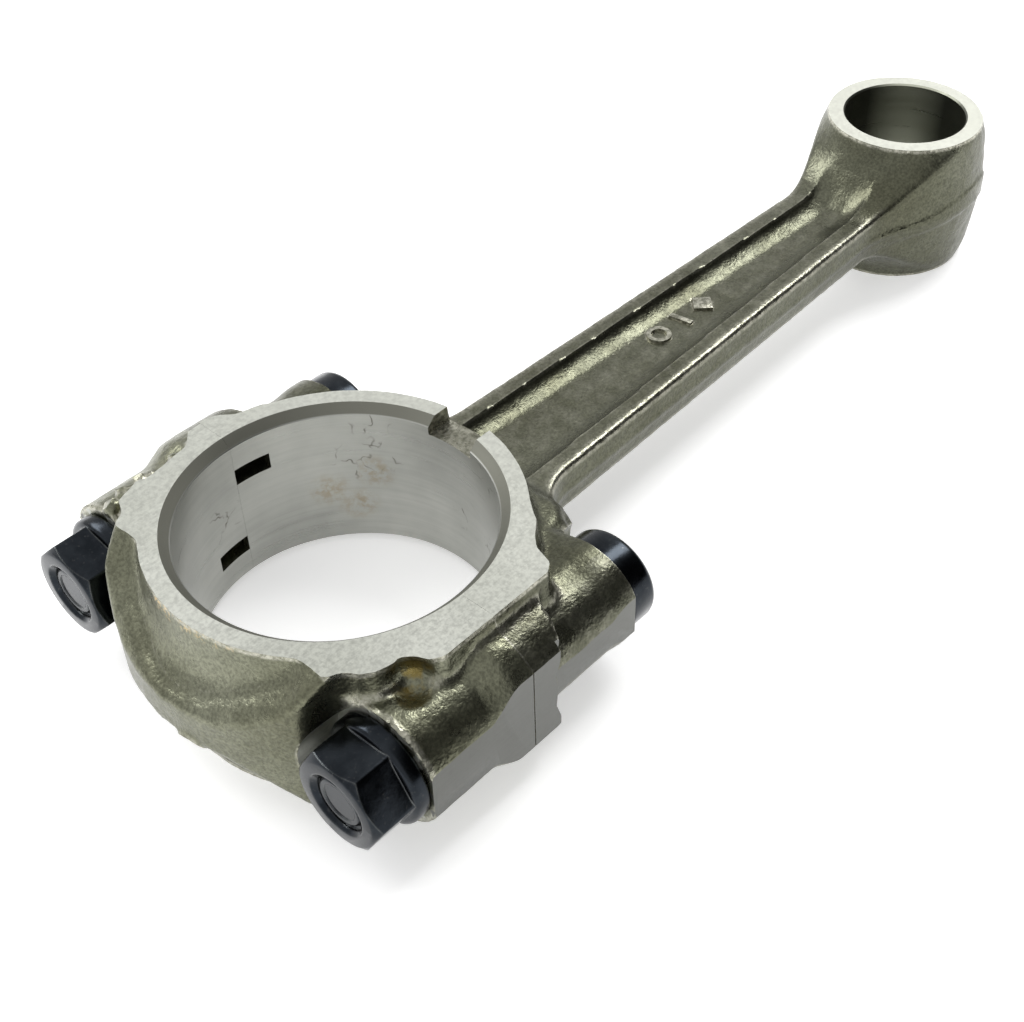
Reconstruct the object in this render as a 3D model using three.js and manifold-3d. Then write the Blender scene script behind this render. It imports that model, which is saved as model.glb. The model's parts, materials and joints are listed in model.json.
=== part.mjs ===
// Connecting rod of a small engine: forged rod, bearing cap, two bolts and two collar nuts.
// Millimetres. X runs from the big end to the small end, Z runs along both bores.
// While it is built the big-end bore is centred on X = Y = 0 and the lower faces lie on Z = 0.

import * as THREE from 'three';
import { mergeVertices } from 'three/addons/utils/BufferGeometryUtils.js';
import Module from 'manifold-3d';

const wasm = await Module();
wasm.setup();

// ---- driving dimensions ----

const CENTRES = 150;            // big-end bore to small-end bore
const EYE_WIDTH = 28;           // length of both bores, face to face
const MID = EYE_WIDTH / 2;      // middle plane, where the two halves of the die met

const BIG_BORE = 47;            // housing bore for the bearing shells, diameter
const BIG_WALL = 4.25;          // ring wall at its faces
const BIG_DRAFT = 1.6;          // how much the ring wall thickens towards the middle plane
const BIG_CHAMFER = 1.5;
const SMALL_BORE = 23;          // piston-pin bore, diameter
const SMALL_WALL = 2.9;
const SMALL_DRAFT = 1.6;
const SMALL_CHAMFER = 0.3;

const SHANK_THICK = 8.2;        // over the rails, along Z
const SHANK_HALF_BIG = 11.6;    // half width where the shank leaves the big end
const SHANK_HALF_SMALL = 8.6;   // half width where it meets the small end
const SHANK_DRAFT = 0.5;        // how much the sides lean out towards the middle plane
const FLASH_BAND = 0.8;         // height of the upright band left by trimming the flash
const RAIL_WIDTH = 3.6;
const POCKET_DEPTH = 2.2;
const POCKET_SLOPE = 2.4;       // plan width of the rounded wall of the pocket
const NECK_REACH = 9.5;         // length of the flare from the shoulders to the shank
const ROOT_RADIUS = 9;          // hollow curve from the shank up to the small end
const ROOT_STEP = 1;            // how far that curve ends below the face of the small end

const BOLT_SIZE = 9;            // thread and shank diameter
const BOLT_WALL = 1;            // metal left between the big bore and a bolt
const BOLT_FIT = 0.15;          // gap all round a bolt in its hole and in its nut
const HEAD_RIM = 3.2;           // how far the head stands out past the bolt shank
const HEAD_THICK = 4.95;
const HEAD_EDGE = 0.8;          // bevel of the head
const BOLT_POINT = 0.9;         // bevel of the threaded end
const HEAD_SEAT = 22.8;         // from the parting face to the underside of the head
const HEAD_GAP = 0.6;           // between a head and the shoulder beside it
const NUT_SEAT = 19.5;          // from the parting face to the face under the nut
const NUT_WALL = 2.5;           // from the thread to a flat of the hexagon
const NUT_HEIGHT = 9.15;
const NUT_EDGE = 1.2;           // bevel of the hexagon's corners, along the bolt
const NUT_MOUTH = 0.5;          // countersink at both ends of the thread
const COLLAR_THICK = 2.7;
const COLLAR_RIM = 0.3;         // how far the collar stands out past the corners of the hexagon
const THREAD_SHORT = 0.55;      // how far the bolt end stops short of the nut face
const LEFT_NUT_TURN = 14;       // degrees from a corner pointing up, as the nuts came to a stop
const RIGHT_NUT_TURN = -1;
const SPOTFACE_GAP = 1;         // all round the collar, in the recess of the cap

const CAP_BOSS_WALL = 5.25;     // metal round the bolt in the cap
const ROD_BOSS_WALL = 3.6;      // metal round the bolt in the rod
const HEAD_BOSS_WALL = 4;       // the same at the seat of the head
const SHOULDER_DROP = 0.65;     // how far a shoulder lies below the top of its boss
const PAD_WALL = 7.1;           // the same where cap and rod meet
const CAP_FLAT = 0.95;          // how deep the side flat is milled into the cap boss
const ROD_FLAT = 0.35;
const PAD_CAP = 4;              // length of the meeting pad on the cap
const PAD_ROD = 2.4;            // and on the rod
const LUG_REACH = 7.5;          // how far the full-height lugs stand out from the big bore
const LUG_EDGE = 3.5;           // how much lower the ends of a lug lie
const NEAR_LUG_CAP = 9.2;       // length of the lug on the -Y side, on the cap
const NEAR_LUG_ROD = 10.8;      // and on the rod
const FAR_LUG_CAP = 2.5;        // the same for the shorter lug on the +Y side
const FAR_LUG_ROD = 1.7;

const CROWN_WALL = 9.7;         // cap wall at the rib, in the middle plane
const CROWN_HALF = 3.3;         // half height of the rib
const CROWN_DRAFT = 0.4;        // how much the rib leans out towards the middle plane
const SCOOP_END = 3;            // height of plain wall between a ring face and the scoop
const NUB_RADIUS = 2.2;
const NUB_DROP = 6.4;           // how far the nub sits below the middle plane

const SLOT_LENGTH = 6.2;        // locating slots of the bearing shells
const SLOT_HEIGHT = 2.9;
const SLOT_DEPTH = 2;
const SLOT_RISE = 6.8;          // middle plane to the middle of a slot
const NOTCH_HALF = 4.4;         // notch in the upper ring face, over the shank
const NOTCH_DEPTH = 2.8;

const FACETS = 72;              // flats in a full turn of the eyes
const SMALL_FACETS = 36;        // flats in a full turn of bolts, nuts and bosses
const OVERSHOOT = 1;            // how far a cutter runs past what it cuts

// ---- sizes that follow ----

const BIG_R = BIG_BORE / 2;
const RING_R = BIG_R + BIG_WALL;
const CROWN_R = BIG_R + CROWN_WALL;
const SMALL_R = SMALL_BORE / 2;
const SMALL_OUT_R = SMALL_R + SMALL_WALL;
const BOLT_R = BOLT_SIZE / 2;
const BOLT_Y = BIG_R + BOLT_WALL + BOLT_R;
const HEAD_R = BOLT_R + HEAD_RIM;
const HEX_FLATS_R = BOLT_R + NUT_WALL;
const HEX_CORNER_R = HEX_FLATS_R / Math.cos(Math.PI / 6);
const COLLAR_R = HEX_CORNER_R + COLLAR_RIM;
const CAP_BOSS_R = BOLT_R + CAP_BOSS_WALL;
const ROD_BOSS_R = BOLT_R + ROD_BOSS_WALL;
const HEAD_BOSS_R = BOLT_R + HEAD_BOSS_WALL;
const PAD_R = BOLT_R + PAD_WALL;
const CAP_SIDE_Y = BOLT_Y + CAP_BOSS_R - CAP_FLAT;
const ROD_SIDE_Y = BOLT_Y + ROD_BOSS_R - ROD_FLAT;
const LUG_Y = BIG_R + LUG_REACH;
const SHOULDER_X = HEAD_SEAT + HEAD_THICK;
const SHOULDER_Y = BOLT_Y - HEAD_R - HEAD_GAP;
const SHOULDER_HALF = ROD_BOSS_R - SHOULDER_DROP;
const SHANK_LOW = MID - SHANK_THICK / 2;
const SHANK_TOP = MID + SHANK_THICK / 2;

// ---- helpers ----

// a closed three.js geometry as a solid that can be joined and cut
function solid(geometry) {
  geometry.deleteAttribute('uv');
  geometry.deleteAttribute('normal');
  const merged = mergeVertices(geometry, 1e-4);
  const corners = merged.index.array;
  const kept = [];
  for (let i = 0; i < corners.length; i += 3) {
    const [a, b, c] = corners.slice(i, i + 3);
    if (a !== b && b !== c && c !== a) kept.push(a, b, c);
  }
  const vertProperties = Float32Array.from(merged.attributes.position.array);
  const triVerts = Uint32Array.from(kept);
  return new wasm.Manifold(new wasm.Mesh({ numProp: 3, vertProperties, triVerts }));
}

function joined(...solids) {
  return solids.reduce((sum, next) => sum.add(next));
}

function without(body, ...cutters) {
  return cutters.reduce((rest, cutter) => rest.subtract(cutter), body);
}

// a section of [radius, height] points turned about an upright axis through (x, 0)
function turnedUpright(section, x) {
  const points = section.map(([radius, height]) => new THREE.Vector2(radius, height));
  return solid(new THREE.LatheGeometry(points, FACETS).rotateX(Math.PI / 2).translate(x, 0, 0));
}

// a section of [radius, x] points turned about a bolt axis
function turnedOnBolt(section, side) {
  const points = section.map(([radius, x]) => new THREE.Vector2(radius, x));
  const turned = new THREE.LatheGeometry(points, SMALL_FACETS).rotateZ(-Math.PI / 2);
  return solid(turned.translate(0, side * BOLT_Y, MID));
}

function outline(points) {
  return new THREE.Shape(points.map(([x, y]) => new THREE.Vector2(x, y)));
}

// a plan outline standing from one height to another
function upright(shape, low, high) {
  const geometry = new THREE.ExtrudeGeometry(shape, { depth: high - low, bevelEnabled: false });
  return solid(geometry.translate(0, 0, low));
}

// a box given by its lowest and highest corners
function block([x0, y0, z0], [x1, y1, z1]) {
  return upright(outline([[x0, y0], [x1, y0], [x1, y1], [x0, y1]]), z0, z1);
}

// points of an ellipse arc from one angle to another, in degrees
function arc(cx, cy, rx, ry, from, to, steps) {
  return Array.from({ length: steps + 1 }, (_, i) => {
    const angle = THREE.MathUtils.degToRad(from + ((to - from) * i) / steps);
    return [cx + rx * Math.cos(angle), cy + ry * Math.sin(angle)];
  });
}

// a half outline on the +Y side, closed by its own mirror image
function bothSides(points) {
  return outline([...points, ...points.map(([x, y]) => [x, -y]).reverse()]);
}

// ---- shapes shared by the rod and the cap ----

// an eye before it is bored, thickest in the middle plane
function eyeBlank(outR, draft, x) {
  return turnedUpright([[0, 0], [outR, 0], [outR + draft, MID], [outR, EYE_WIDTH], [0, EYE_WIDTH]], x);
}

function boreCutter(boreR, chamfer, x) {
  const mouthR = boreR + chamfer + OVERSHOOT;
  return turnedUpright([
    [0, -OVERSHOOT],
    [mouthR, -OVERSHOOT],
    [boreR, chamfer],
    [boreR, EYE_WIDTH - chamfer],
    [mouthR, EYE_WIDTH + OVERSHOOT],
    [0, EYE_WIDTH + OVERSHOOT],
  ], x);
}

function boltHole(side) {
  const r = BOLT_R + BOLT_FIT;
  return turnedOnBolt([[0, -CROWN_R], [r, -CROWN_R], [r, CROWN_R], [0, CROWN_R]], side);
}

// everything on the cap's side of the parting face
function capSide() {
  return block([-2 * CROWN_R, -2 * CROWN_R, -OVERSHOOT], [0, 2 * CROWN_R, EYE_WIDTH + OVERSHOOT]);
}

// ---- rod forging ----

function rodBosses(side) {
  const boss = turnedOnBolt([
    [0, 0],
    [PAD_R, 0],
    [PAD_R, PAD_ROD],
    [ROD_BOSS_R, 2 * PAD_ROD],
    [ROD_BOSS_R, HEAD_SEAT - HEAD_BOSS_R / 2],
    [HEAD_BOSS_R, HEAD_SEAT - PAD_ROD / 2],
    [HEAD_BOSS_R, HEAD_SEAT],
    [0, HEAD_SEAT],
  ], side);
  const inner = side * (BIG_R - BIG_WALL);
  const shoulder = upright(outline([
    [0, inner],
    [SHOULDER_X - BIG_WALL, side * SHANK_HALF_BIG],
    [SHOULDER_X, side * (SHOULDER_Y - BIG_WALL)],
    [SHOULDER_X, side * SHOULDER_Y],
    [HEAD_SEAT, side * SHOULDER_Y],
    [HEAD_SEAT, side * BOLT_Y],
    [0, side * BOLT_Y],
  ]), MID - SHOULDER_HALF, MID + SHOULDER_HALF);
  return boss.add(shoulder);
}

function sideFlatCutter(side, flatY, x0, x1) {
  const ys = [side * flatY, side * (flatY + CAP_BOSS_R)].sort((a, b) => a - b);
  return block([x0, ys[0], -OVERSHOOT], [x1, ys[1], EYE_WIDTH + OVERSHOOT]);
}

function rodLug(side, length) {
  const ringX = length + 1.5 * LUG_EDGE;
  const ringY = Math.sqrt(RING_R ** 2 - ringX ** 2) - BIG_WALL / 2;
  return upright(outline([
    [0, side * (BIG_R - BIG_WALL)],
    [0, side * LUG_Y],
    [length, side * LUG_Y],
    [length + LUG_EDGE / 2, side * (LUG_Y - LUG_EDGE / 3)],
    [length + LUG_EDGE, side * (LUG_Y - LUG_EDGE)],
    [ringX, side * ringY],
  ]), 0, EYE_WIDTH);
}

function shankHalfWidth(x) {
  const share = (x - RING_R) / (CENTRES - SMALL_OUT_R - RING_R);
  return SHANK_HALF_BIG + (SHANK_HALF_SMALL - SHANK_HALF_BIG) * share;
}

function shank() {
  const neckEnd = SHOULDER_X + NECK_REACH;
  const neckHalf = shankHalfWidth(neckEnd);
  const far = CENTRES - SMALL_R;
  const plan = bothSides([
    [SHOULDER_X - BIG_WALL, SHOULDER_Y],
    ...arc(neckEnd, SHOULDER_Y, NECK_REACH, SHOULDER_Y - neckHalf, 180, 270, 8),
    [far, shankHalfWidth(far)],
  ]);
  const geometry = new THREE.ExtrudeGeometry(plan, {
    depth: FLASH_BAND,
    bevelEnabled: true,
    bevelSegments: 1,
    bevelThickness: (SHANK_THICK - FLASH_BAND) / 2,
    bevelSize: SHANK_DRAFT,
  });
  return solid(geometry.translate(0, 0, MID - FLASH_BAND / 2));
}

function pocketCutter(face) {
  const near = BIG_R + BIG_WALL / 2;
  const runOut = CENTRES - SMALL_OUT_R - ROOT_RADIUS + POCKET_SLOPE;
  const floorHalf = (x) => shankHalfWidth(x) - RAIL_WIDTH - POCKET_SLOPE;
  const plan = bothSides([[near, floorHalf(near)], [runOut, floorHalf(runOut)]]);
  const geometry = new THREE.ExtrudeGeometry(plan, {
    depth: OVERSHOOT,
    bevelEnabled: true,
    bevelSegments: 4,
    bevelThickness: POCKET_DEPTH,
    bevelSize: POCKET_SLOPE,
  });
  const lift = face > 0 ? SHANK_TOP : SHANK_LOW - OVERSHOOT;
  return solid(geometry.translate(0, 0, lift));
}

// the hollow curve that carries the shank up and down to the faces of the small end
function smallEndRoot() {
  const start = CENTRES - SMALL_OUT_R - ROOT_RADIUS;
  const rise = (EYE_WIDTH - SHANK_THICK) / 2 - ROOT_STEP;
  const half = shankHalfWidth(start);
  const profile = bothSides([
    ...arc(start, SHANK_THICK / 2 + rise, ROOT_RADIUS, rise, -90, 0, 8),
    [CENTRES - SMALL_R, SHANK_THICK / 2 + rise],
  ]);
  const geometry = new THREE.ExtrudeGeometry(profile, { depth: 2 * half, bevelEnabled: false });
  return solid(geometry.rotateX(Math.PI / 2).translate(0, half, MID));
}

function shellSlot(x0, x1, height) {
  return block(
    [x0, BIG_R - BIG_WALL, height - SLOT_HEIGHT / 2],
    [x1, BIG_R + SLOT_DEPTH, height + SLOT_HEIGHT / 2],
  );
}

function rodForging() {
  const bigEye = eyeBlank(RING_R, BIG_DRAFT, 0);
  const smallEye = eyeBlank(SMALL_OUT_R, SMALL_DRAFT, CENTRES);
  const lugs = [rodLug(1, FAR_LUG_ROD), rodLug(-1, NEAR_LUG_ROD), rodBosses(1), rodBosses(-1)];
  const bigHalf = without(joined(bigEye, ...lugs), capSide());
  const beam = without(shank(), pocketCutter(1), pocketCutter(-1));
  const notch = block(
    [BIG_R - BIG_WALL, -NOTCH_HALF, EYE_WIDTH - NOTCH_DEPTH],
    [RING_R + BIG_WALL, NOTCH_HALF, EYE_WIDTH + OVERSHOOT],
  );
  const flats = [1, -1].flatMap((side) => [
    sideFlatCutter(side, CAP_SIDE_Y, -OVERSHOOT, 2 * PAD_ROD),
    sideFlatCutter(side, ROD_SIDE_Y, 2 * PAD_ROD, HEAD_SEAT + OVERSHOOT),
  ]);
  return without(
    joined(bigHalf, smallEye, beam, smallEndRoot()),
    boreCutter(BIG_R, BIG_CHAMFER, 0),
    boreCutter(SMALL_R, SMALL_CHAMFER, CENTRES),
    boltHole(1),
    boltHole(-1),
    notch,
    shellSlot(-OVERSHOOT, SLOT_LENGTH, MID + SLOT_RISE),
    ...flats,
  );
}

// ---- bearing cap ----

function crownRib() {
  const inner = BIG_R + BIG_WALL / 2;
  const scoopTop = EYE_WIDTH - SCOOP_END;
  const scoopDepth = scoopTop - MID - CROWN_HALF;
  const edge = CROWN_R - CROWN_DRAFT;
  const scoop = arc(edge, scoopTop, edge - RING_R, scoopDepth, 270, 180, 6);
  const lower = scoop.map(([radius, height]) => [radius, EYE_WIDTH - height]).reverse();
  const foot = [inner, SCOOP_END];
  return turnedUpright([foot, ...lower, [CROWN_R, MID], ...scoop, [inner, scoopTop], foot], 0);
}

function capBoss(side) {
  return turnedOnBolt([
    [0, -NUT_SEAT],
    [CAP_BOSS_R, -NUT_SEAT],
    [CAP_BOSS_R, -2 * PAD_CAP],
    [PAD_R, -PAD_CAP],
    [PAD_R, 0],
    [0, 0],
  ], side);
}

function capLug(side, length) {
  return upright(outline([
    [0, side * (BIG_R - BIG_WALL)],
    [0, side * LUG_Y],
    [-length, side * LUG_Y],
    [-length - LUG_EDGE, side * (LUG_Y - LUG_EDGE)],
    [-NUT_SEAT + LUG_EDGE / 2, side * (LUG_Y - 1.2 * LUG_EDGE)],
    [-NUT_SEAT, side * (LUG_Y - 1.6 * LUG_EDGE)],
    [-NUT_SEAT, side * (BIG_R - BIG_WALL)],
  ]), 0, EYE_WIDTH);
}

function nutSpotface(side) {
  const r = COLLAR_R + SPOTFACE_GAP;
  return turnedOnBolt([[0, -2 * CROWN_R], [r, -2 * CROWN_R], [r, -NUT_SEAT], [0, -NUT_SEAT]], side);
}

function crownNub() {
  const ball = new THREE.SphereGeometry(NUB_RADIUS, 16, 8);
  return solid(ball.translate(-CROWN_R + NUB_RADIUS, 0, MID - NUB_DROP));
}

function bearingCap() {
  const eye = eyeBlank(RING_R, BIG_DRAFT, 0);
  const lugs = [capLug(1, FAR_LUG_CAP), capLug(-1, NEAR_LUG_CAP), capBoss(1), capBoss(-1)];
  const blank = joined(eye, crownRib(), crownNub(), ...lugs).intersect(capSide());
  return without(
    blank,
    boreCutter(BIG_R, BIG_CHAMFER, 0),
    boltHole(1),
    boltHole(-1),
    nutSpotface(1),
    nutSpotface(-1),
    shellSlot(-SLOT_LENGTH, OVERSHOOT, MID - SLOT_RISE),
    sideFlatCutter(1, CAP_SIDE_Y, -NUT_SEAT, OVERSHOOT),
    sideFlatCutter(-1, CAP_SIDE_Y, -NUT_SEAT, OVERSHOOT),
  );
}

// ---- bolts and nuts ----

function bolt(side) {
  const end = -(NUT_SEAT + NUT_HEIGHT - THREAD_SHORT);
  const headFace = HEAD_SEAT + HEAD_THICK;
  return turnedOnBolt([
    [0, end],
    [BOLT_R - BOLT_POINT, end],
    [BOLT_R, end + BOLT_POINT],
    [BOLT_R, HEAD_SEAT],
    [HEAD_R, HEAD_SEAT],
    [HEAD_R, headFace - HEAD_EDGE],
    [HEAD_R - HEAD_EDGE, headFace],
    [0, headFace],
  ], side);
}

function collarNut(side, turn) {
  const face = -(NUT_SEAT + NUT_HEIGHT);
  const collarTop = -(NUT_SEAT + COLLAR_THICK);
  const hexLength = NUT_HEIGHT - COLLAR_THICK / 2;
  const hexagon = new THREE.CylinderGeometry(HEX_CORNER_R, HEX_CORNER_R, hexLength, 6);
  hexagon.rotateZ(Math.PI / 2).rotateX(THREE.MathUtils.degToRad(turn));
  hexagon.translate(face + hexLength / 2, side * BOLT_Y, MID);
  const envelope = turnedOnBolt([
    [0, face],
    [HEX_FLATS_R, face],
    [HEX_CORNER_R, face + NUT_EDGE],
    [HEX_CORNER_R, -NUT_SEAT],
    [0, -NUT_SEAT],
  ], side);
  const collar = turnedOnBolt([
    [0, collarTop],
    [COLLAR_R - COLLAR_RIM, collarTop],
    [COLLAR_R, collarTop + COLLAR_RIM],
    [COLLAR_R, -NUT_SEAT],
    [0, -NUT_SEAT],
  ], side);
  const r = BOLT_R + BOLT_FIT;
  const hole = turnedOnBolt([
    [0, face - OVERSHOOT],
    [r + NUT_MOUTH + OVERSHOOT, face - OVERSHOOT],
    [r, face + NUT_MOUTH],
    [r, -NUT_SEAT - NUT_MOUTH],
    [r + NUT_MOUTH + OVERSHOOT, -NUT_SEAT + OVERSHOOT],
    [0, -NUT_SEAT + OVERSHOOT],
  ], side);
  return solid(hexagon).intersect(envelope).add(collar).subtract(hole);
}

// ---- assembly ----

function named(name, body, look) {
  const { vertProperties, triVerts } = body.getMesh();
  const geometry = new THREE.BufferGeometry();
  geometry.setAttribute('position', new THREE.BufferAttribute(vertProperties, 3));
  geometry.setIndex(new THREE.BufferAttribute(triVerts, 1));
  geometry.computeVertexNormals();
  const mesh = new THREE.Mesh(geometry, new THREE.MeshStandardMaterial(look));
  mesh.name = name;
  return mesh;
}

const forgedSteel = { color: 0x77766a, roughness: 0.5, metalness: 0.9 };
const blackOxide = { color: 0x17181b, roughness: 0.3, metalness: 0.8 };

const group = new THREE.Group();
group.add(
  named('rod_forging', rodForging(), forgedSteel),
  named('bearing_cap', bearingCap(), forgedSteel),
  named('bolt_left', bolt(1), blackOxide),
  named('bolt_right', bolt(-1), blackOxide),
  named('nut_left', collarNut(1, LEFT_NUT_TURN), blackOxide),
  named('nut_right', collarNut(-1, RIGHT_NUT_TURN), blackOxide),
);

// the origin of the part is the middle of its underside
const extent = new THREE.Box3().setFromObject(group);
const middle = extent.getCenter(new THREE.Vector3());
group.position.set(-middle.x, -middle.y, -extent.min.z);

export default group;
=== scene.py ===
import json
import math

import bmesh
import bpy
import numpy as np
from mathutils import Matrix, Vector, noise


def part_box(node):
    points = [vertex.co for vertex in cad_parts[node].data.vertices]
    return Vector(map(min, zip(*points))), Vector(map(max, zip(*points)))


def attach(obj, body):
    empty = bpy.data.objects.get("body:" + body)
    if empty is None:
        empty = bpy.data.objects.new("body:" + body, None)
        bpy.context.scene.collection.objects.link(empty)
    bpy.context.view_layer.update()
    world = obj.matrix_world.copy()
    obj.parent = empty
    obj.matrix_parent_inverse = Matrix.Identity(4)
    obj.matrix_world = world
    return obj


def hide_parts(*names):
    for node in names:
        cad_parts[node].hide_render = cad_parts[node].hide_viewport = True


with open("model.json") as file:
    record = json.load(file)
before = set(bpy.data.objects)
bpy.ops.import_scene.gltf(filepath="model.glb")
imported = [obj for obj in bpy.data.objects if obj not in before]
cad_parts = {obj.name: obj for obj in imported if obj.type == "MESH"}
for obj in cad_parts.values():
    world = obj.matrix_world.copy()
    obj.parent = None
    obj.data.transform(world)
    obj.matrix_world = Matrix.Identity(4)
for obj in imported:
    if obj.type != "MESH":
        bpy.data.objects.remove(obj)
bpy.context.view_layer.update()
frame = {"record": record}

# ---- sizes, in millimetres, counted from the middle of the big-end bore ----

openings = {o["name"]: np.array(o["box_m"]) * 1000 for o in frame["record"]["physics"]["openings"]}
big_end = openings["big_end_bore"].mean(0)
small_end = openings["small_end_bore"].mean(0)
nut_low, nut_high = (np.array(c) * 1000 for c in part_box("nut_left"))
bolt_low, bolt_high = (np.array(c) * 1000 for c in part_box("bolt_left"))

HALF = float(big_end[2])                    # half the width of both eyes
CENTRES = float(small_end[0] - big_end[0])
BOLT_Y = float(nut_low[1] + nut_high[1]) / 2
NUT_SEAT = float(nut_high[0] - big_end[0])
NUT_FACE = float(nut_low[0] - big_end[0])
BOLT_END = float(bolt_low[0] - big_end[0])
HEAD_FACE = float(bolt_high[0] - big_end[0])
HEAD_SEAT = 22.8
HEAD_SPOT_R = 9.6                           # forged pocket around each bolt head
SIDE_Y = float(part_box("bearing_cap")[1][1]) * 1000
ROD_SIDE_Y = 36.75                          # the rod's own side flats stand a little further in

BIG_R = 23.5
BIG_CHAMFER = 1.5
RING_R = 27.75                              # big end's outer wall at the machined faces
RING_DRAFT = 1.6                            # its growth towards the parting plane of the dies
SMALL_R = 11.5
SMALL_CHAMFER = 0.3
BOLT_HOLE_R = 4.65
SPOTFACE_R = 9.38                           # machined seat under each nut
COLLAR_R = 8.38
HEX_FLATS_R = 7.0
BOLT_HEAD_R = 7.7
SHANK_R = 4.5                               # plain part of a bolt
PITCH = 1.0
CROWN_R = 33.2
CROWN_SCOOP_R = 27.2
SHANK_HALF = 4.1                            # half the height of the I section
WEB_HALF = 1.9
LUG_LEAN = 0.07                             # draft of the lugs' walls
PARTING_GAP = 0.012                         # each half stays this far short of the parting plane
GROOVE_HALF = 0.09
SLOT_LOW, SLOT_HIGH = 5.35, 8.25            # bearing shell slots, above and below the middle plane
SLOT_ROOM = (19.2, 25.5)                    # from inside the bore to the slot's floor
SLOT_LENGTH = 6.2
NOTCH_HALF, NOTCH_DEPTH = 4.4, 2.8
MARK_Y = 1.0
MARK_TOP = WEB_HALF + 0.5
MARK_LOW = WEB_HALF - 0.6
SPARE = 1.6                                 # metal left for machining on the forged blanks
ROUGH_TOP = HALF + 0.6                      # half height of the rough blocks before forging
MARK_REACH = 1.1                            # how deep the worn edges and hollows are looked for

WIDE, TALL = 60, 20                         # past the part's sides and past its faces, for cutters

FORGED, MACHINED, BORED = 0, 1, 2

MM = 0.001
to_row_frame = Matrix.Scale(MM, 4) @ Matrix.Translation((big_end[0], 0, HALF))


# ---- distance fields of the forged shapes ----

def fade(x, start, end):
    """nothing before the start, one after the end, smooth between them"""
    t = np.clip((x - start) / (end - start), 0, 1)
    return t * t * (3 - 2 * t)


def soft_join(a, b, k):
    """union of two solids with a soft blend of width k"""
    h = np.maximum(k - np.abs(a - b), 0) / k
    return np.minimum(a, b) - h * h * k / 4


def soft_meet(a, b, k):
    """what two solids share, with edges softened over k"""
    return -soft_join(-a, -b, k)


def fillet_join(a, b, r):
    """union of two solids with a round fillet of radius r in the corner"""
    return np.maximum(r, np.minimum(a, b)) - np.hypot(np.maximum(r - a, 0), np.maximum(r - b, 0))


def plan_distance(x, y, corners):
    """distance to an upright prism over a closed outline, negative inside"""
    best = np.full(x.shape, 1e9)
    inside = np.zeros(x.shape, bool)
    for (x0, y0), (x1, y1) in zip(corners, corners[1:] + corners[:1]):
        ex, ey = x1 - x0, y1 - y0
        wx, wy = x - x0, y - y0
        t = np.clip((wx * ex + wy * ey) / (ex * ex + ey * ey), 0, 1)
        best = np.minimum(best, (wx - ex * t) ** 2 + (wy - ey * t) ** 2)
        if ey:
            inside ^= ((y0 <= y) != (y1 <= y)) & (wx < ex * wy / ey)
    return np.where(inside, -1, 1) * np.sqrt(best)


def ball_distance(x, y, z, centre, r):
    return np.sqrt((x - centre[0]) ** 2 + (y - centre[1]) ** 2 + (z - centre[2]) ** 2) - r


def lug(x, y, z, corners):
    return (plan_distance(x, y, corners) + LUG_LEAN * (np.abs(z) - HALF)) * 0.99


def ring_wall(x, y, z):
    r = np.hypot(x, y)
    return (r - RING_R - RING_DRAFT * (1 - np.abs(z) / HALF)) * 0.993


def slab(z):
    return np.abs(z) - HALF - SPARE


# outlines seen from above; near is the -Y side and far the +Y side
ROD_LUG_NEAR = [(-3, -20), (-3, -31), (10.8, -30.9), (12.3, -29.9), (13.3, -26.6), (15, -24.7), (17.5, -22.6),
                (19, -19), (12, -14)]
ROD_LUG_FAR = [(-3, 20), (-3, 30.5), (1.7, 30.5), (3.3, 29.6), (5, 27.6), (9, 26.4), (12, 20)]
CAP_LUG_NEAR = [(3, -20), (3, -31), (-9.4, -31), (-11.2, -29.9), (-12.2, -28.4), (-13.6, -26.8),
                (-15.4, -26.3), (-17.2, -26.1), (-18.7, -24.9), (-19.2, -22.6), (-18.6, -19), (-14, -14)]
CAP_LUG_FAR = [(3, 20), (3, 30.5), (-2.5, 30.1), (-3.8, 28.5), (-4.8, 27.2), (-17.5, 25.9), (-18.9, 25.4),
               (-20.2, 20.4), (-15, 15)]
# the shoulder beside the shank is the same on both sides
SHOULDER = [(-5, -5), (27.6, -5), (27.6, 16.8), (26.9, 18.4), (25.2, 20.2),
            (22.8, 21.3), (22.8, 28), (-5, 28)]


def rod_boss(x, y, z):
    crest = 2.6 + 0.6 * np.maximum(np.abs(z) - 3, 0)
    r = 8.1 + 3.5 * (1 - fade(x, crest, crest + 3.0)) + 0.4 * fade(x, 17, 21)
    wall = (np.hypot(np.abs(y) - BOLT_Y, z) - r) * 0.85
    return np.maximum(wall, x - HEAD_SEAT - SPARE)


def cap_boss(x, y, z):
    r = 9.75 + 1.85 * fade(x, -8.5, -2.5)
    wall = (np.hypot(np.abs(y) - BOLT_Y, z) - r) * 0.97
    return np.maximum(wall, -x + NUT_SEAT)


def straight_half_width(x):
    return 11.6 - 3.0 * np.clip((x - RING_R) / 107.85, 0, 1)


def shank_half_width(x):
    straight = straight_half_width(x)
    flare = np.sqrt(np.clip(1 - ((x - 37.3) / 9.6) ** 2, 0, 1))
    return np.where(x < 37.3, 20.7 - (20.7 - straight) * flare, straight)


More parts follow.
